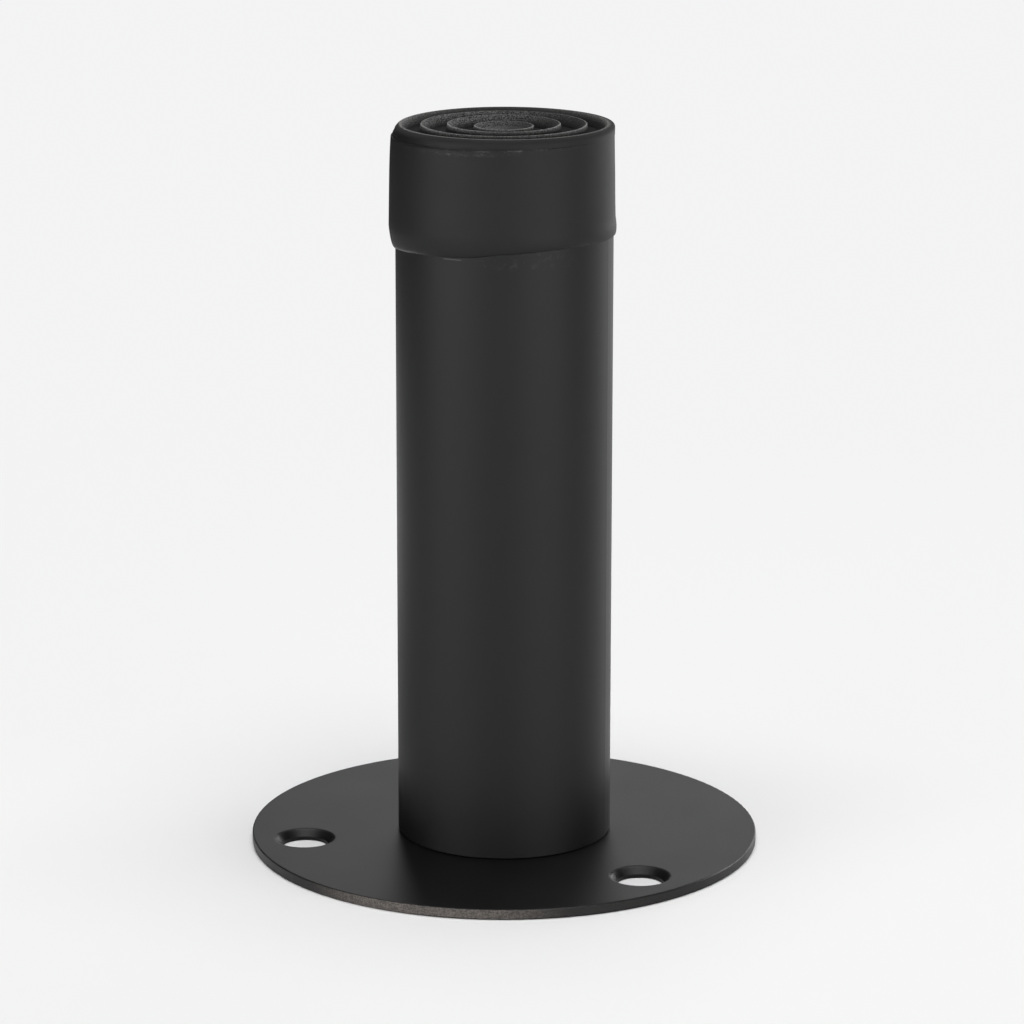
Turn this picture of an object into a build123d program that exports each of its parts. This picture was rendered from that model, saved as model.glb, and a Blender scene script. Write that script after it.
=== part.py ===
from build123d import *
from math import radians, tan
import os

# Door bumper: a round steel base plate, a straight steel tube standing on it, and a
# moulded rubber cap pushed over the tube's free end. Millimetres, +Z up the tube.
# The origin is the centre of the plate's underside, and one screw hole lies on +Y.

# Base plate
plate_diameter = 100.0
plate_thickness = 2.0
plate_edge_round = 0.25

# Countersunk screw holes in the plate
hole_count = 3
hole_diameter = 9.0
hole_edge_distance = 10.0
hole_land = 0.7
countersink_angle = 90.0
hole_edge_round = 0.8
first_hole_angle = 90.0

# Post
tube_diameter = 42.0
tube_wall = 2.0
tube_length = 136.0
tube_edge_break = 0.3

# Rubber cap: the skirt that grips the tube
skirt_wall = 0.85
skirt_overlap = 17.0
skirt_draft_angle = 1.0
lip_wall = 0.25
lip_roll_height = 3.6

# Rubber cap: the shoulder above the parting line
shoulder_height = 1.9
shoulder_step = 0.3
shoulder_round = 0.6
parting_edge_round = 0.15

# Rubber cap: the ribbed end face that the door meets
end_wall = 3.0
rib_height = 2.0
rib_pitch = 5.1
rib_top_width = 1.0
rib_draft_angle = 12.0
rib_edge_round = 0.35
groove_round = 0.4
rim_width = 1.4
smallest_rib_radius = 4.0
centre_rib_drop = 0.4
centre_dish_depth = 0.8

# Places and radii that follow from the sizes above
plate_radius = plate_diameter / 2
hole_radius = hole_diameter / 2
hole_circle_radius = plate_radius - hole_edge_distance
countersink_depth = plate_thickness - hole_land
countersink_radius = hole_radius + countersink_depth * tan(radians(countersink_angle / 2))
tube_radius = tube_diameter / 2
bore_radius = tube_radius - tube_wall
tube_top = plate_thickness + tube_length
groove_floor = tube_top + end_wall
cap_top = groove_floor + rib_height
lip_level = tube_top - skirt_overlap
parting_level = cap_top - shoulder_height
skirt_radius = tube_radius + skirt_wall
roll_level = lip_level + lip_roll_height
skirt_top_radius = skirt_radius - (parting_level - roll_level) * tan(radians(skirt_draft_angle))
shoulder_radius = skirt_top_radius - shoulder_step
rib_count = int((tube_radius - smallest_rib_radius) / rib_pitch)
rib_slope = tan(radians(rib_draft_angle))

# A round takes at most this share of the wall that it is on
round_share = 0.45
plate_round = min(plate_edge_round, round_share * plate_thickness)
hole_round = min(hole_edge_round, countersink_depth)
tube_break = min(tube_edge_break, round_share * tube_wall)
rib_round = min(rib_edge_round, round_share * rib_top_width)
parting_round = min(parting_edge_round, round_share * shoulder_step)
rim_round = min(shoulder_round, round_share * shoulder_height, round_share * rim_width)


def make_base_plate():
    with BuildPart() as plate:
        Cylinder(plate_radius, plate_thickness, align=(Align.CENTER, Align.CENTER, Align.MIN))
        outer_edges = plate.edges().filter_by(GeomType.CIRCLE)
        fillet(outer_edges, plate_round)
        with Locations((0, 0, plate_thickness)):
            with PolarLocations(hole_circle_radius, hole_count, start_angle=first_hole_angle):
                CounterSinkHole(hole_radius, countersink_radius, plate_thickness, countersink_angle)
        top_edges = plate.edges().filter_by(GeomType.CIRCLE).group_by(Axis.Z)[-1]
        hole_edges = top_edges.filter_by(lambda edge: edge.radius < plate_radius - hole_edge_distance)
        fillet(hole_edges, hole_round)
    return plate.part


def make_post_tube():
    with BuildPart() as tube:
        with BuildSketch(Plane.XY.offset(plate_thickness)):
            Circle(tube_radius)
            Circle(bore_radius, mode=Mode.SUBTRACT)
        extrude(amount=tube_length)
        outer_edges = tube.edges().filter_by(GeomType.CIRCLE).sort_by(SortBy.RADIUS)[-2:]
        chamfer(outer_edges, tube_break)
    return tube.part


# Corner of the cap's section: radius from the axis, height, and the round it is given
def rib_corners(outer_radius, top):
    spread = (top - groove_floor) * rib_slope
    inner_radius = outer_radius - rib_top_width
    return [
        (inner_radius - spread, groove_floor, groove_round),
        (inner_radius, top, rib_round),
        (outer_radius, top, rib_round),
        (outer_radius + spread, groove_floor, groove_round),
    ]


def end_face_corners():
    centre_top = cap_top - centre_rib_drop
    centre_radius = tube_radius - rib_count * rib_pitch
    dish_radius = centre_radius - rib_top_width - centre_dish_depth * rib_slope
    centre_rib = rib_corners(centre_radius, centre_top)
    corners = [(0, centre_top - centre_dish_depth, 0)]
    corners.append((dish_radius, centre_top - centre_dish_depth, groove_round))
    corners.extend(centre_rib[1:])
    for ring in range(rib_count - 1, 0, -1):
        corners.extend(rib_corners(tube_radius - ring * rib_pitch, cap_top))
    rim_inner_radius = shoulder_radius - rim_width
    corners.append((rim_inner_radius - rib_height * rib_slope, groove_floor, groove_round))
    corners.append((rim_inner_radius, cap_top, rib_round))
    corners.append((shoulder_radius, cap_top, rim_round))
    return corners


def make_rubber_cap():
    corners = [(tube_radius + lip_wall, lip_level, 0)]
    corners.append((tube_radius, lip_level, 0))
    corners.append((tube_radius, tube_top, 0))
    corners.append((0, tube_top, 0))
    corners.extend(end_face_corners())
    corners.append((shoulder_radius, parting_level, 0))
    corners.append((skirt_top_radius, parting_level, parting_round))
    corners.append((skirt_radius, roll_level, 0))
    points = [(radius, level) for radius, level, corner_round in corners]
    rounds = [corner_round for radius, level, corner_round in corners[1:-1]]
    with BuildPart() as cap:
        with BuildSketch(Plane.XZ):
            with BuildLine():
                FilletPolyline(*points, radius=rounds)
                TangentArc(points[-1], points[0], tangent=(0, -1))
            make_face()
        revolve(axis=Axis.Z)
    return cap.part


nodes = {
    "base_plate": make_base_plate(),
    "post_tube": make_post_tube(),
    "rubber_cap": make_rubber_cap(),
}

os.makedirs("parts", exist_ok=True)
for node_name, solid in nodes.items():
    export_step(solid, f"parts/{node_name}.step")
    print(node_name, round(solid.volume, 1), "mm3")
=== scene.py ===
import math
import bpy
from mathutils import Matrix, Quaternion, Vector, noise


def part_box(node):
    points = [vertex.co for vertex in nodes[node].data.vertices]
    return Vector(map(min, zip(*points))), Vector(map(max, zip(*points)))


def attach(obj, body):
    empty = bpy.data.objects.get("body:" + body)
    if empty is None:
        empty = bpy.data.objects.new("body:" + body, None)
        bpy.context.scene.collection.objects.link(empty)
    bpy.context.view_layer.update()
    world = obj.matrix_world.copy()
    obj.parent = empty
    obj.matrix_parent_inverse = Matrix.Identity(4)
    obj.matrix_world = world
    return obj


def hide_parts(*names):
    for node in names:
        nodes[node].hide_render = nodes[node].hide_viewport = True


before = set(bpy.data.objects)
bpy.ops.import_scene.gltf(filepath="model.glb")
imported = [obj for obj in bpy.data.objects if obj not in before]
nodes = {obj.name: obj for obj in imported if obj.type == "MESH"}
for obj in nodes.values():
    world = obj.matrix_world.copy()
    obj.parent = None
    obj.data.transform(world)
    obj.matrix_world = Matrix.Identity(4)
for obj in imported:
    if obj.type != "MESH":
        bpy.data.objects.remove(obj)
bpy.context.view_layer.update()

mm = 0.001
scene = bpy.context.scene
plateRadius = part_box("base_plate")[1].y
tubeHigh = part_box("post_tube")[1]
capLow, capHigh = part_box("rubber_cap")
tubeRadius = tubeHigh.y
print("frame loaded:", ", ".join(sorted(nodes)))

photoView = {
    "azimuth": 19.2,  # degrees to the right of -Y
    "distance": 0.800,  # from the tube's axis, along the floor
    "height": 0.268,
    "aimSide": 0.0015,
    "aimHeight": 0.0664,
    "roll": 0.06,
    "lens": 148.45,
    "sensor": 36,
}


def facing(azimuth):  # flat direction that far to the right of the photograph's front
    turn = math.radians(photoView["azimuth"] + azimuth)
    return Vector((math.sin(turn), -math.cos(turn), 0))


frontWay = facing(0)
rightWay = facing(90)


class Wire:  # an output socket that can be used in sums
    def __init__(self, socket):
        self.socket = socket

    def node(self, kind, settings, inputs, output=0):
        made = self.socket.id_data.nodes.new(kind)
        for name, value in settings.items():
            setattr(made, name, value)
        for name, value in inputs.items():
            if isinstance(value, Wire):
                self.socket.id_data.links.new(value.socket, made.inputs[name])
            else:
                made.inputs[name].default_value = value
        return Wire(made.outputs[output])

    def sums(self, operation, first, second):
        return self.node("ShaderNodeMath", {"operation": operation}, {0: first, 1: second})

    def __add__(self, other):
        return self.sums("ADD", self, other)

    def __radd__(self, other):
        return self.sums("ADD", other, self)

    def __sub__(self, other):
        return self.sums("SUBTRACT", self, other)

    def __rsub__(self, other):
        return self.sums("SUBTRACT", other, self)

    def __mul__(self, other):
        return self.sums("MULTIPLY", self, other)

    def __rmul__(self, other):
        return self.sums("MULTIPLY", other, self)

    def __truediv__(self, other):
        return self.sums("DIVIDE", self, other)

    def __rtruediv__(self, other):
        return self.sums("DIVIDE", other, self)


def grain(place, size, detail=2.0, rough=0.5):  # size of one grain, in metres
    inputs = {"Vector": place, "Scale": 1 / size, "Detail": detail, "Roughness": rough}
    return place.node("ShaderNodeTexNoise", {}, inputs, "Fac")


def painted(place, name):  # value kept at the points of the mesh
    return place.node("ShaderNodeAttribute", {"attribute_name": name}, {}, "Fac")


def rise(value, low, high):  # 0 below low, 1 above high
    inputs = {"Value": value, "From Min": low, "From Max": high, "To Min": 0.0, "To Max": 1.0}
    return value.node("ShaderNodeMapRange", {"interpolation_type": "SMOOTHSTEP"}, inputs)


def band(value, low, high, soft):  # 1 between low and high
    return rise(value, low - soft, low + soft) - rise(value, high - soft, high + soft)


def atLeast(least, share):  # lifts 0 to least and leaves 1 as it is
    return least + (1 - least) * share


def tint(mask, under, over):  # one colour over another
    inputs = {0: mask}
    for slot, colour in ((6, under), (7, over)):
        inputs[slot] = colour if isinstance(colour, Wire) else (*colour, 1)
    return mask.node("ShaderNodeMix", {"data_type": "RGBA"}, inputs, 2)


def heightOf(place):
    return place.node("ShaderNodeSeparateXYZ", {}, {0: place}, "Z")


def radiusOf(place):
    flat = place.node("ShaderNodeVectorMath", {"operation": "MULTIPLY"}, {0: place, 1: (1, 1, 0)})
    return place.node("ShaderNodeVectorMath", {"operation": "LENGTH"}, {0: flat}, "Value")


def along(place, direction):
    inputs = {0: place, 1: direction}
    return place.node("ShaderNodeVectorMath", {"operation": "DOT_PRODUCT"}, inputs, "Value")


def turnedTo(place, azimuth):  # 1 straight towards that side, -1 straight away from it
    return along(place, facing(azimuth)) / radiusOf(place)


def bumps(place, height, strength, distance):
    inputs = {"Height": height, "Strength": strength, "Distance": distance}
    return place.node("ShaderNodeBump", {}, inputs)


def startFinish(name):
    material = bpy.data.materials.new(name)
    material.use_nodes = True
    shader = material.node_tree.nodes["Principled BSDF"]
    coords = material.node_tree.nodes.new("ShaderNodeTexCoord")
    return material, shader, Wire(coords.outputs["Object"])


def feed(shader, name, wire):
    wire.socket.id_data.links.new(wire.socket, shader.inputs[name])


coating = {
    "black": (0.0015, 0.0015, 0.0015),
    "paler": (0.0035, 0.0035, 0.0035),
    "roughness": 0.45,
    "roughnessSwing": 0.05,
    "specular": 0.28,
    "peelSize": 0.5 * mm,
    "peelDepth": 0.012 * mm,
    "peelStrength": 0.35,
    "driftSize": 14 * mm,
}


def makeCoating(name):  # satin black powder coat
    material, shader, place = startFinish(name)
    shader.inputs["Specular IOR Level"].default_value = coating["specular"]
    peel = grain(place, coating["peelSize"])
    drift = grain(place, coating["driftSize"], 3.0)
    swing = coating["roughnessSwing"]
    feed(shader, "Roughness", coating["roughness"] - swing + swing * peel + swing * drift)
    feed(shader, "Normal", bumps(place, peel, coating["peelStrength"], coating["peelDepth"]))
    return material, shader, place, tint(drift, coating["black"], coating["paler"])


plateEdge = {
    "worn": (0.17, 0.149, 0.134),
    "depth": 0.1 * mm,  # how far in from the rim the wear starts
    "fullDepth": 0.03 * mm,  # and where it is full
    "wornSide": -17,
    "sideSpread": (0.84, 0.995),  # cosines of the turns where the wear ends and where it is full
    "allRound": 0.05,
    "onWornSide": 0.75,
    "speckSize": 0.35 * mm,
    "speckSpread": (0.38, 0.66),
    "betweenSpecks": 0.3,
}


def makePlateCoating():
    edge = plateEdge
    material, shader, place, black = makeCoating("plateCoating")
    rim = rise(radiusOf(place), plateRadius - edge["depth"], plateRadius - edge["fullDepth"])
    side = rise(turnedTo(place, edge["wornSide"]), *edge["sideSpread"])
    specks = rise(grain(place, edge["speckSize"], 3.0, 0.7), *edge["speckSpread"])
    amount = rim * (edge["allRound"] + edge["onWornSide"] * side) * atLeast(edge["betweenSpecks"], specks)
    feed(shader, "Base Color", tint(amount, black, edge["worn"]))
    return material


tubeMarks = {  # under the cap's lip, at the front
    "smear": {
        "pale": (0.012, 0.012, 0.012),
        "low": 118.5 * mm,
        "high": 121.5 * mm,
        "soft": 0.5 * mm,
        "side": 12,
        "sideSpread": (0.82, 0.97),
    },
    "thread": {  # short pale line just under the lip
        "pale": (0.06, 0.06, 0.06),
        "low": 119.92 * mm,
        "high": 120.08 * mm,
        "soft": 0.05 * mm,
        "side": -28,
        "sideSpread": (0.9945, 0.9975),
    },
    "blotSize": 1.1 * mm,
    "blotSpread": (0.5, 0.72),
}


def markOn(place, mark):
    level = band(heightOf(place), mark["low"], mark["high"], mark["soft"])
    return level * rise(turnedTo(place, mark["side"]), *mark["sideSpread"])


def makeTubeCoating():
    smear = tubeMarks["smear"]
    thread = tubeMarks["thread"]
    material, shader, place, black = makeCoating("tubeCoating")
    blots = rise(grain(place, tubeMarks["blotSize"], 4.0, 0.6), *tubeMarks["blotSpread"])
    smeared = tint(markOn(place, smear) * blots, black, smear["pale"])
    feed(shader, "Base Color", tint(markOn(place, thread), smeared, thread["pale"]))
    return material


def dressNode(name, material):
    piece = nodes[name]
    piece.data.materials.clear()
    piece.data.materials.append(material)


dressNode("base_plate", makePlateCoating())
dressNode("post_tube", makeTubeCoating())
print("plate and tube coated")

capShape = {
    "segments": 480,
    "gap": 0.02 * mm,  # between the rubber and the tube
    "lipWall": 0.25 * mm,
    "lipRoll": 3.6 * mm,
    "rollSteps": 8,
    "skirtSlope": math.tan(math.radians(1)),
    "partingDrop": 1.9 * mm,  # parting line below the end face
    "partingRound": 0.2 * mm,
    "cornerRound": 0.04 * mm,  # where the step meets the shoulder
    "step": 0.3 * mm,
    "flashRings": 10,  # close rings under the parting line, for the torn flash
    "creaseRings": 4,  # and over it, for the crease
    "ringStep": 0.15 * mm,
    "shoulderRound": 0.6 * mm,
    "endWall": 3.0 * mm,
    "ribPitch": 5.1 * mm,
    "ribTop": 0.35 * mm,
    "ribFoot": 1.75 * mm,  # the inner walls slope more than the outer ones
    "ribSlope": math.tan(math.radians(12)),
    "ribEdge": 0.12 * mm,
    "grooveRound": 0.4 * mm,
    "rimWidth": 1.4 * mm,
    "centreDrop": 0.4 * mm,
    "dishDepth": 0.8 * mm,
    "eyeRadius": 0.3 * mm,  # last ring before the centre point
    "arcSteps": 4,
    "longestRun": 1.2 * mm,
    "sameSpot": 0.01 * mm,
}

lip = capLow.z
top = capHigh.z
parting = top - capShape["partingDrop"]
grooveFloor = tubeHigh.z + capShape["endWall"]
skirt = capHigh.y
skirtTop = skirt - (parting - lip - capShape["lipRoll"]) * capShape["skirtSlope"]
shoulder = skirtTop - capShape["step"]
rimInside = shoulder - capShape["rimWidth"]
ribs = [(tubeRadius - ring * capShape["ribPitch"], top) for ring in (1, 2)]  # outer radius and height
ribs.append((tubeRadius - 3 * capShape["ribPitch"], top - capShape["centreDrop"]))


def roundCorner(before, corner, after, size, steps):
    back = (before - corner).normalized()
    ahead = (after - corner).normalized()
    half = back.angle(ahead) / 2
    centre = corner + (back + ahead).normalized() * size / math.sin(half)
    first = (corner + back * size / math.tan(half) - centre).normalized()
    last = (corner + ahead * size / math.tan(half) - centre).normalized()
    return [centre + first.slerp(last, index / steps) * size for index in range(steps + 1)]


def skirtCorners():  # radius, height and round of each corner, from inside the end to the parting line
    shape = capShape
    inside = tubeRadius + shape["gap"]
    wall = tubeRadius + shape["lipWall"]
    corners = [(shape["eyeRadius"], tubeHigh.z + shape["gap"], 0)]
    corners.append((inside, tubeHigh.z + shape["gap"], 0))
    corners.append((inside, lip, 0))
    corners.append((wall, lip, 0))
    for index in range(1, shape["rollSteps"] + 1):  # the lip rolls in as a quarter of an oval
        turn = math.pi / 2 * index / shape["rollSteps"]
        level = lip + shape["lipRoll"] * (1 - math.cos(turn))
        corners.append((wall + (skirt - wall) * math.sin(turn), level, 0))
    for index in range(shape["flashRings"], 0, -1):
        below = index * shape["ringStep"]
        corners.append((skirtTop + below * shape["skirtSlope"], parting - below, 0))
    corners.append((skirtTop, parting, shape["partingRound"]))
    return corners


def endCorners():  # the same, from the parting line to the dished centre
    shape = capShape
    corners = [(shoulder, parting, shape["cornerRound"])]
    for index in range(1, shape["creaseRings"] + 1):
        corners.append((shoulder, parting + index * shape["ringStep"], 0))
    corners.append((shoulder, top, shape["shoulderRound"]))
    corners.append((rimInside, top, shape["ribEdge"]))
    corners.append((rimInside - shape["ribFoot"] + shape["ribTop"], grooveFloor, shape["grooveRound"]))
    for outer, peak in ribs:
        spread = (peak - grooveFloor) * shape["ribSlope"]
        corners.append((outer + spread, grooveFloor, shape["grooveRound"]))
        corners.append((outer, peak, shape["ribEdge"]))
        corners.append((outer - shape["ribTop"], peak, shape["ribEdge"]))
        corners.append((outer - shape["ribFoot"], grooveFloor, shape["grooveRound"]))
    corners.pop()  # the middle rib has the dish inside it and no groove
    centreRadius, centrePeak = ribs[-1]
    dish = centrePeak - shape["dishDepth"]
    corners.append((centreRadius - shape["ribFoot"] + shape["ribTop"], dish, shape["grooveRound"]))
    corners.append((shape["eyeRadius"], dish, 0))
    return corners


def capRings():  # radius and height of every ring, corners rounded and long runs divided
    corners = skirtCorners() + endCorners()
    path = []
    for index, (radius, height, size) in enumerate(corners):
        here = Vector((radius, height))
        if size == 0:
            path.append(here)
        else:
            before = Vector(corners[index - 1][:2])
            after = Vector(corners[index + 1][:2])
            path.extend(roundCorner(before, here, after, size, capShape["arcSteps"]))
    rings = [path[0]]
    for point in path[1:]:
        start = rings[-1]
        run = point - start
        parts = max(1, math.ceil(run.length / capShape["longestRun"]))
        for part in range(1, parts + 1):
            rings.append(start + run * part / parts)
    return rings


def mergeRing(piece, ring):  # closes the shape where a small ring meets the axis
    bpy.ops.mesh.select_all(action="DESELECT")
    bpy.ops.object.mode_set(mode="OBJECT")
    for vertex in piece.data.vertices:
        across = abs(math.hypot(vertex.co.x, vertex.co.y) - ring.x)
        vertex.select = max(across, abs(vertex.co.z - ring.y)) < capShape["sameSpot"]
    bpy.ops.object.mode_set(mode="EDIT")
    bpy.ops.mesh.merge(type="CENTER")


def blockCap():
    rings = capRings()
    first = rings[0]
    bpy.ops.object.select_all(action="DESELECT")
    bpy.ops.mesh.primitive_circle_add(
        vertices=capShape["segments"], radius=first.x, location=(0, 0, first.y)
    )
    piece = bpy.context.object
    piece.name = "rubberCapSkin"
    bpy.ops.object.transform_apply(location=True, rotation=True, scale=True)
    bpy.ops.object.mode_set(mode="EDIT")
    bpy.ops.mesh.select_mode(type="VERT")
    bpy.ops.mesh.select_all(action="SELECT")
    for old, new in zip(rings, rings[1:]):
        bpy.ops.mesh.extrude_region_move(TRANSFORM_OT_translate={"value": (0, 0, new.y - old.y)})
        grow = new.x / old.x
        bpy.ops.transform.resize(value=(grow, grow, 1), center_override=(0, 0, new.y))
    mergeRing(piece, rings[-1])
    mergeRing(piece, first)
    bpy.ops.mesh.select_all(action="SELECT")
    bpy.ops.mesh.normals_make_consistent(inside=False)
    bpy.ops.object.mode_set(mode="OBJECT")
    return piece


capForm = {  # a side is an azimuth; pairs of side and spread are in degrees
    "outside": 0.1 * mm,  # what is this far off the tube is on the skirt's outside
    "lipMean": -0.44 * mm,  # how far the lip's middle level lies off the plain one
    "lipTilt": 1.47 * mm,
    "lipHighSide": 55,
    "lipDips": {-23: (17, 0.4 * mm), 66: (12, 0.2 * mm), -95: (15, 0.25 * mm)},  # side: spread, depth
    "lipRagged": ((0.1 * mm, 3.5 * mm, 3.1), (0.05 * mm, 0.9 * mm, 7.7)),  # depth, size and seed
    "lipFade": 9 * mm,  # the lip's wave dies out this far up the skirt
    "leftSide": (-92, 45),
    "skirtShift": 0.5 * mm,  # skirt sits to the left of the tube
    "skirtWave": (0.04 * mm, 9 * mm, 1.3),  # depth, size and seed
    "tuck": 0.3 * mm,  # and is pulled in below the parting line on the left
    "tuckLeast": 0.2,
    "tuckFade": 5 * mm,
    "partingTilt": 0.33 * mm,  # parting line is higher on the right
    "partingFade": 3 * mm,
    "shoulderFade": 1.6,
    "flash": 0.13 * mm,
    "flashZone": 1.8 * mm,
    "flashRows": (  # how far down and how tall, then side and spread
        (0.1 * mm, 0.22 * mm, 3, 30),
        (0.85 * mm, 0.3 * mm, -20, 22),
    ),
    "flashFine": (0.6, 0.4 * mm, 5.2),
    "flashCoarse": (0.6, 1.6 * mm, 9.4),
    "flashStretch": 1.6,
    "flashMore": 0.1,
    "flashPale": 0.25,
    "shoulderShift": 0.13 * mm,
    "slump": 0.75 * mm,  # rounder left side of the shoulder
    "slumpPower": 1.5,
    "slumpDrop": 0.4,
    "crease": 0.35 * mm,
    "creaseRise": 0.08 * mm,
    "creaseSpread": 0.13 * mm,
    "creaseSide": 8,
    "creaseRun": 25,
    "wobble": (0.07 * mm, 4 * mm, 2.4),
    "sink": (0.035 * mm, 2.5 * mm, 8.8),
}


def falloff(away, width):  # 1 at nothing, fading to either side
    return math.exp(-(away / width) ** 2)


def near(side, middle, width):  # the same round the cap
    return falloff((side - middle + 180) % 360 - 180, width)


def wave(side, level, depth, size, seed):  # smooth noise round the cap
    turn = math.radians(side)
    reach = capHigh.y / size
    place = Vector((math.cos(turn) * reach, math.sin(turn) * reach, level / size + seed))
    return depth * noise.noise(place)


# Pale rib and rim edges: partly wear, partly a painted highlight where the edges catch the light; a pale
# line also runs along the lip's edge on the left.
capWearAndHighlight = {
    "width": 0.14 * mm,
    "edges": (  # from the rim inwards: most, how much less, on which side and how far round
        (0.7, 0.65, 180, 80),
        (0.85, 0.5, 0, 45),
        (0.85, 0.5, 0, 45),
        (0.85, 0.2, 0, 45),
    ),
    "lip": 0.5,
    "lipHeight": 0.5 * mm,
    "lipSide": (-64, 15),
}


def wearAndHighlight(flat, height, side):  # where the edges of the ribs and of the lip are pale: wear on the edges, with a painted highlight where the rib edges catch the light
    amount = 0.0
    for (radius, peak), (most, less, middle, width) in zip([(rimInside, top), *ribs], capWearAndHighlight["edges"]):
        away = math.hypot(flat - radius, height - peak)
        amount = max(amount, (most - less * near(side, middle, width)) * falloff(away, capWearAndHighlight["width"]))
    up = (height - lip) / capWearAndHighlight["lipHeight"]
    if up < 1 and flat > tubeRadius + capForm["outside"]:
        amount = capWearAndHighlight["lip"] * near(side, *capWearAndHighlight["lipSide"]) * (1 - up)
    return amount


# Pale dust on the end face, with painted light in it: the inner walls and grooves are paler on the left,
# where they face the light from the right, and darker low on the walls, as painted shade.
capDustAndLight = {
    "grooves": 0.55,
    "grooveSide": (-105, 34),
    "grooveMargin": 0.1 * mm,
    "rimSide": (-90, 45),
    "climb": 0.35,  # power of the height up a wall; lower down is darker, as painted shade
    "dish": 0.75,
    "centre": 0.4,
    "even": 0.6,
    "leftwardLight": 0.4,
}


def dustAndLightOn(flat, height, side):  # pale dust and painted light on the inner walls of the ribs, most of it on the left, where the walls face the light
    amount = 0.0
    if flat < rimInside and height > grooveFloor - capDustAndLight["grooveMargin"]:
        amount = capDustAndLight["grooves"] * near(side, *capDustAndLight["grooveSide"])
    for radius, peak in [(rimInside + capShape["ribTop"], top), *ribs]:
        if radius - capShape["ribFoot"] < flat < radius - 0.5 * capShape["ribTop"] and height > grooveFloor:
            share = near(side, *capDustAndLight["rimSide"]) if radius > rimInside else 1.0
            up = min(1.0, (height - grooveFloor) / (peak - grooveFloor))
            amount = max(amount, share * up ** capDustAndLight["climb"])
    if flat < ribs[-1][0] - capShape["ribTop"]:
        amount = capDustAndLight["dish"]
    return amount * (capDustAndLight["even"] - capDustAndLight["leftwardLight"] * math.sin(math.radians(side)))


def lipRise(side):
    form = capForm
    level = form["lipMean"] + form["lipTilt"] * math.cos(math.radians(side - form["lipHighSide"]))
    for middle, (width, depth) in form["lipDips"].items():
        level -= depth * near(side, middle, width)
    return level + sum(wave(side, 0, *ragged) for ragged in form["lipRagged"])


def tornFlash(side, height):  # two ragged rows under the parting line, at the front
    form = capForm
    if parting - height > form["flashZone"]:
        return 0.0
    ragged = wave(side, height * form["flashStretch"], *form["flashFine"])
    ragged += wave(side, height, *form["flashCoarse"])
    rows = []
    for drop, spread, middle, width in form["flashRows"]:
        rows.append(falloff(parting - height - drop, spread) * near(side, middle, width))
    return max(0.0, ragged + form["flashMore"]) * max(rows)


def partingRise(side):
    return capForm["partingTilt"] * math.sin(math.radians(side))


def moveLip(vertex, spot, side):
    fade = max(0.0, 1 - (spot.z - lip) / capForm["lipFade"])
    vertex.co.z += lipRise(side) * fade * fade * (3 - 2 * fade)


def moveSkirt(vertex, spot, side, out):
    form = capForm
    below = parting - spot.z
    grip = min(1.0, (spot.z - lip) / capShape["lipRoll"])
    pull = form["tuck"] * near(side, *form["leftSide"])
    vertex.co -= rightWay * form["skirtShift"] * grip
    vertex.co += out * wave(side, spot.z, *form["skirtWave"]) * grip
    vertex.co -= out * pull * grip * atLeast(form["tuckLeast"], math.exp(-below / form["tuckFade"]))
    vertex.co.z += partingRise(side) * max(0.0, 1 - below / form["partingFade"])
    vertex.co += out * form["flash"] * tornFlash(side, spot.z)


def moveShoulder(vertex, spot, side, out, flat):
    form = capForm
    up = (spot.z - parting) / (top - parting)
    across = max(0.0, flat - rimInside) / (shoulder - rimInside)
    slump = form["slump"] * near(side, *form["leftSide"]) * across
    vertex.co -= out * slump * up ** form["slumpPower"]
    vertex.co.z -= form["slumpDrop"] * slump * up
    vertex.co.z += partingRise(side) * max(0.0, 1 - up * form["shoulderFade"])
    pinch = falloff(spot.z - parting - form["creaseRise"], form["creaseSpread"])
    pinch *= min(1.0, max(0.0, (side - form["creaseSide"]) / form["creaseRun"]))
    vertex.co -= out * form["crease"] * pinch * across


def moveRibs(vertex, side, out, flat):
    vertex.co += out * wave(side, flat, *capForm["wobble"])
    vertex.co.z -= capForm["sink"][0] + wave(side, flat, *capForm["sink"])


capZones = {  # which points each move takes
    "lipInside": tubeRadius - 0.5 * mm,
    "lipBelow": parting - 3 * mm,
    "skirtBelow": parting + 0.01 * mm,
    "rimInside": rimInside - 0.05 * mm,
    "rimAbove": grooveFloor + 0.5 * mm,
}


def shapeCap(piece):
    zones = capZones
    worn = []
    dustAndLight = []
    for vertex in piece.data.vertices:
        spot = vertex.co.copy()
        flat = math.hypot(spot.x, spot.y)
        if flat < 0.5 * capShape["eyeRadius"]:  # on the axis
            worn.append(0.0)
            dustAndLight.append(capDustAndLight["centre"])
            continue
        side = math.degrees(math.atan2(spot.dot(rightWay), spot.dot(frontWay)))
        out = Vector((spot.x / flat, spot.y / flat, 0))
        pale = wearAndHighlight(flat, spot.z, side)
        dustAndLight.append(dustAndLightOn(flat, spot.z, side))
        if flat > zones["lipInside"] and spot.z < zones["lipBelow"]:
            moveLip(vertex, spot, side)
        if flat > tubeRadius + capForm["outside"] and spot.z < zones["skirtBelow"]:
            moveSkirt(vertex, spot, side, out)
            pale = max(pale, min(1.0, capForm["flashPale"] * tornFlash(side, spot.z)))
        elif spot.z > parting:
            vertex.co -= rightWay * capForm["shoulderShift"]
            if flat > zones["rimInside"] and spot.z > zones["rimAbove"]:
                moveShoulder(vertex, spot, side, out, flat)
            else:
                moveRibs(vertex, side, out, flat)
        worn.append(pale)
    # worn holds the pale edges (wear and painted highlight) and the paler torn flash
    piece.data.attributes.new("worn", "FLOAT", "POINT").data.foreach_set("value", worn)
    piece.data.attributes.new("dustAndLight", "FLOAT", "POINT").data.foreach_set("value", dustAndLight)
    print("cap shaped:", len(piece.data.vertices), "points")


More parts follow.
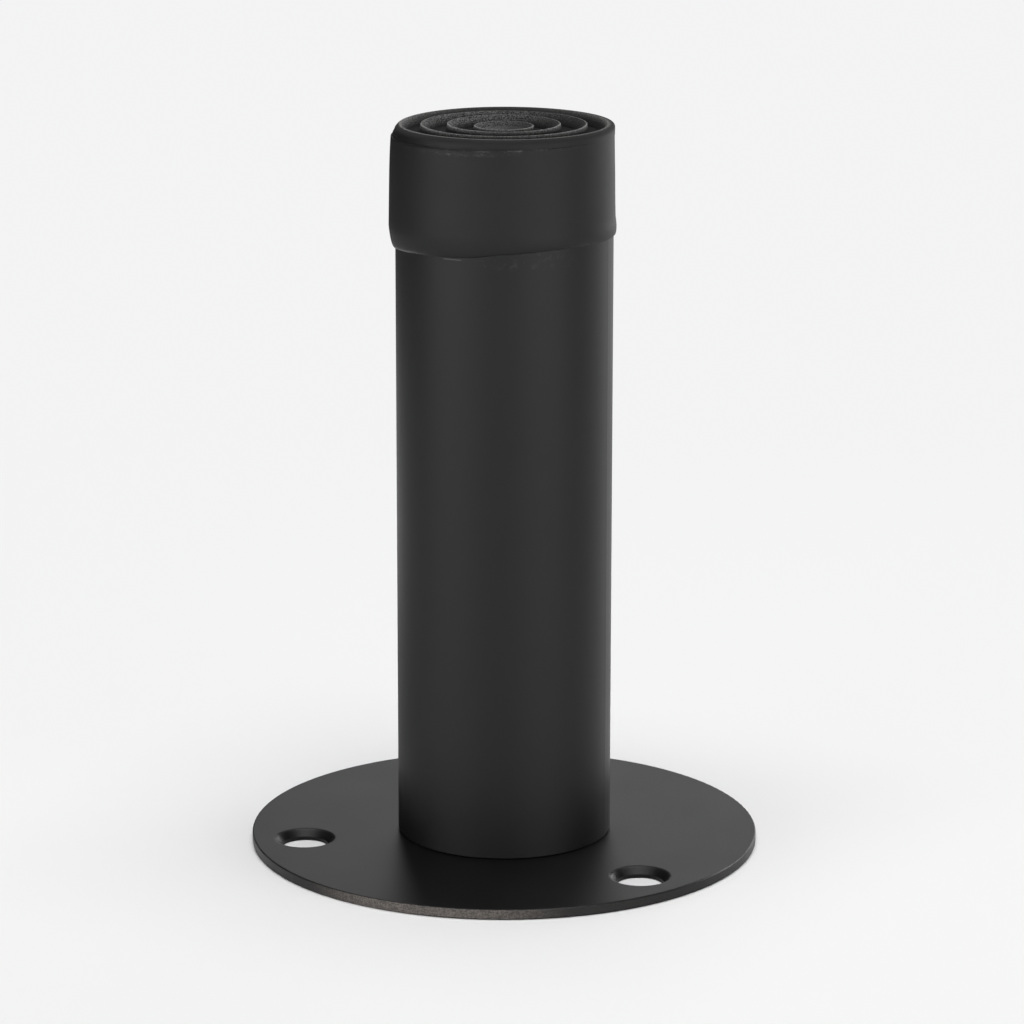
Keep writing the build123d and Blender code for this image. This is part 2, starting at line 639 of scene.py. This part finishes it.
rubber = {
    "black": (0.003, 0.003, 0.003),
    # painted shade: the groove bottoms are darker than the rest of the end face
    "grooveShadeBlack": (0.005, 0.005, 0.005),
    "endBlack": (0.012, 0.0119, 0.0117),
    "endPale": (0.17, 0.168, 0.165),
    "wornAndHighlightPale": (0.4, 0.395, 0.387),
    "specular": 0.3,
    "skirtRoughness": 0.55,
    "roughnessSwing": 0.04,
    "endRoughness": 0.9,
    "grooveRougher": 0.1,
    "endFace": (parting + 0.7 * mm, top - 0.2 * mm),  # heights where the end's finish starts and is full
    "grooves": (parting - 1 * mm, parting - 0.6 * mm),
    "groovesInside": (19.3 * mm, 19.7 * mm),
    # heights over which the painted groove shade gives way
    "raised": (grooveFloor + 0.1 * mm, grooveFloor + 1.3 * mm),
    "dishInside": (4.3 * mm, 4.8 * mm),
    "softSize": 6 * mm,
    "fineSize": 0.25 * mm,
    "fineShare": 0.15,
    "grainSize": 0.24 * mm,
    "grainDepth": 0.05 * mm,
    "grainStrength": 0.6,
    "dustSpecks": (0.42, 0.6),
    "wornSpecks": (0.4, 0.6),
    "betweenSpecks": 0.25,
}


def makeRubber():
    material, shader, place = startFinish("capRubber")
    shader.inputs["Specular IOR Level"].default_value = rubber["specular"]
    radius = radiusOf(place)
    height = heightOf(place)
    speck = grain(place, rubber["grainSize"], 3.0, 0.65)
    endFace = rise(height, *rubber["endFace"])
    inGroove = (1 - rise(radius, *rubber["groovesInside"])) * rise(height, *rubber["grooves"])
    endMask = endFace.sums("MAXIMUM", endFace, inGroove)
    raised = rise(height, *rubber["raised"])
    outOfGrooveShade = raised.sums("MAXIMUM", raised, 1 - rise(radius, *rubber["dishInside"]))
    # dust with painted light: paler on the left inner walls, darker low down
    dustAndLightMask = painted(place, "dustAndLight") * rise(speck, *rubber["dustSpecks"])
    dustAndLight = tint(dustAndLightMask, rubber["endBlack"], rubber["endPale"])
    # groove bottoms get the darker black, as painted shade
    moulded = tint(endMask, rubber["black"], tint(outOfGrooveShade, rubber["grooveShadeBlack"], dustAndLight))
    # paler where the edges are worn and carry a painted highlight
    wornAndHighlightMask = painted(place, "worn") * atLeast(rubber["betweenSpecks"], rise(speck, *rubber["wornSpecks"]))
    feed(shader, "Base Color", tint(wornAndHighlightMask, moulded, rubber["wornAndHighlightPale"]))
    soft = grain(place, rubber["softSize"], 3.0)
    rough = rubber["skirtRoughness"] - rubber["roughnessSwing"] + 2 * rubber["roughnessSwing"] * soft
    rougher = rubber["endRoughness"] - rubber["skirtRoughness"] + rubber["grooveRougher"] * (1 - outOfGrooveShade)
    feed(shader, "Roughness", rough + endMask * rougher)
    relief = rubber["fineShare"] * grain(place, rubber["fineSize"]) + endMask * speck
    feed(shader, "Normal", bumps(place, relief, rubber["grainStrength"], rubber["grainDepth"]))
    return material


smoothAngle = math.radians(40)


def makeCap():
    piece = blockCap()
    shapeCap(piece)
    bpy.ops.object.select_all(action="DESELECT")
    piece.select_set(True)
    bpy.context.view_layer.objects.active = piece
    bpy.ops.object.shade_smooth_by_angle(angle=smoothAngle)
    piece.data.materials.append(makeRubber())
    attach(piece, "root")
    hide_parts("rubber_cap")
    bpy.ops.object.select_all(action="DESELECT")


makeCap()
print("rubber cap made")

mattRoughness = 0.9  # of the floor and the cards


def startMatt(name, colour):
    material, shader, place = startFinish(name)
    shader.inputs["Base Color"].default_value = (*colour, 1)
    shader.inputs["Roughness"].default_value = mattRoughness
    return material, shader, place


floorLook = {
    "size": 12.0,
    "white": (0.86, 0.86, 0.86),
    "glow": (0.9, 0.9, 0.905),  # how bright the far floor looks
    "near": 0.09,
    "far": 0.45,
    "drop": 0.05 * mm,
}


def makeFloor():
    bpy.ops.mesh.primitive_plane_add(size=floorLook["size"], location=(0, 0, -floorLook["drop"]))
    floor = bpy.context.object
    floor.name = "floor"
    material, shader, place = startMatt("floorWhite", floorLook["white"])
    shader.inputs["Specular IOR Level"].default_value = 0.0
    tree = material.node_tree
    path = tree.nodes.new("ShaderNodeLightPath")
    seen = Wire(path.outputs["Is Camera Ray"]) + Wire(path.outputs["Is Glossy Ray"])
    seen = seen + Wire(path.outputs["Is Transmission Ray"])
    mask = rise(radiusOf(place), floorLook["near"], floorLook["far"]) * seen
    glow = place.node("ShaderNodeEmission", {}, {"Color": (*floorLook["glow"], 1), "Strength": 1.0})
    plain = Wire(shader.outputs[0])
    mixed = place.node("ShaderNodeMixShader", {}, {0: mask, 1: plain, 2: glow})
    tree.links.new(mixed.socket, tree.nodes["Material Output"].inputs["Surface"])
    floor.data.materials.append(material)
    bpy.ops.object.select_all(action="DESELECT")


makeFloor()


def makeCamera():
    place = frontWay * photoView["distance"] + Vector((0, 0, photoView["height"]))
    aim = rightWay * photoView["aimSide"] + Vector((0, 0, photoView["aimHeight"]))
    bpy.ops.object.camera_add(location=place)
    camera = bpy.context.object
    look = (aim - place).to_track_quat("-Z", "Y")
    camera.rotation_mode = "QUATERNION"
    camera.rotation_quaternion = look @ Quaternion((0, 0, 1), math.radians(photoView["roll"]))
    camera.data.lens = photoView["lens"]
    camera.data.sensor_width = photoView["sensor"]
    scene.camera = camera


makeCamera()

softboxes = {  # angles in degrees, seen from the post; azimuth counts from the camera's side, to the right
    "leftStrip": {"azimuth": -55, "elevation": 4, "wide": 50, "tall": 8, "radiance": 8.2},
    "frontStrip": {"azimuth": -5, "elevation": 4, "wide": 50, "tall": 8, "radiance": 3.5},
    "rightStrip": {"azimuth": 43, "elevation": 4, "wide": 46, "tall": 8, "radiance": 8.2},
    "backRightStrip": {"azimuth": 135, "elevation": 6, "wide": 40, "tall": 12, "radiance": 4.0},
    "backPanel": {"azimuth": 166, "elevation": 16, "wide": 44, "tall": 24, "radiance": 1.02},
    "topPanel": {"azimuth": 60, "elevation": 87, "wide": 52, "tall": 52, "radiance": 3.22},
}
lampDistance = 3.0
lampAim = Vector((0, 0, 0.07))
wattsPerArea = 4  # that an area lamp takes for a radiance of 1


def spanOf(angle):  # width that fills the angle at the lamps' distance
    return 2 * lampDistance * math.tan(math.radians(angle / 2))


def makeLamp(name, box):
    lift = math.radians(box["elevation"])
    toLamp = facing(box["azimuth"]) * math.cos(lift) + Vector((0, 0, math.sin(lift)))
    bpy.ops.object.light_add(type="AREA", location=lampAim + toLamp * lampDistance)
    lamp = bpy.context.object
    lamp.name = name
    lamp.data.shape = "RECTANGLE"
    lamp.data.size = spanOf(box["wide"])
    lamp.data.size_y = spanOf(box["tall"])
    lamp.data.energy = wattsPerArea * box["radiance"] * lamp.data.size * lamp.data.size_y
    lamp.rotation_mode = "QUATERNION"
    lamp.rotation_quaternion = toLamp.to_track_quat("Z", "Y")
    lamp.visible_camera = False


for boxName, box in softboxes.items():
    makeLamp(boxName, box)

flags = {  # cards that dim the left edge's reflection and nothing else
    "darkCard": {
        "azimuth": -128,
        "distance": 0.45,
        "lift": 0.3,
        "flat": False,
        "size": (0.75, 0.6),
        "grey": 0.02,
    },
    "greyCard": {
        "azimuth": -145,
        "distance": 0.118,
        "lift": 0.0003,
        "flat": True,
        "size": (0.2, 0.125),
        "grey": 0.42,
    },
}


def makeFlag(name, flag):
    bpy.ops.mesh.primitive_plane_add(size=1, location=(0, 0, 0))
    card = bpy.context.object
    card.name = name
    card.scale = (*flag["size"], 1)
    card.rotation_mode = "QUATERNION"
    towards = -facing(flag["azimuth"])
    if flag["flat"]:
        card.rotation_quaternion = Vector((0, 1, 0)).rotation_difference(towards)
    else:
        card.rotation_quaternion = towards.to_track_quat("Z", "Y")
    card.location = facing(flag["azimuth"]) * flag["distance"] + Vector((0, 0, flag["lift"]))
    card.data.materials.append(startMatt(name, [flag["grey"]] * 3)[0])
    card.visible_camera = False
    card.visible_diffuse = False
    card.visible_shadow = False
    bpy.ops.object.select_all(action="DESELECT")


for flagName, flag in flags.items():
    makeFlag(flagName, flag)

roomLight = {
    "strength": 2.2,
    "side": 100,
    "spread": (-0.1, 0.6),
    "above": (0.2, 0.65),
    "backdrop": 0.9,  # what the camera sees past the floor
}


def makeWorld():  # a room that is only bright low on the right
    world = bpy.data.worlds.new("studio")
    scene.world = world
    world.use_nodes = True
    tree = world.node_tree
    look = Wire(tree.nodes.new("ShaderNodeTexCoord").outputs["Generated"])
    bright = rise(along(look, facing(roomLight["side"])), *roomLight["spread"])
    low = 1 - rise(heightOf(look), *roomLight["above"])
    level = bright * low * roomLight["strength"]
    seen = Wire(tree.nodes.new("ShaderNodeLightPath").outputs["Is Camera Ray"])
    feed(tree.nodes["Background"], "Strength", level * (1 - seen) + seen * roomLight["backdrop"])


makeWorld()
scene.view_settings.view_transform = "Standard"
print("stage, camera and lamps set")
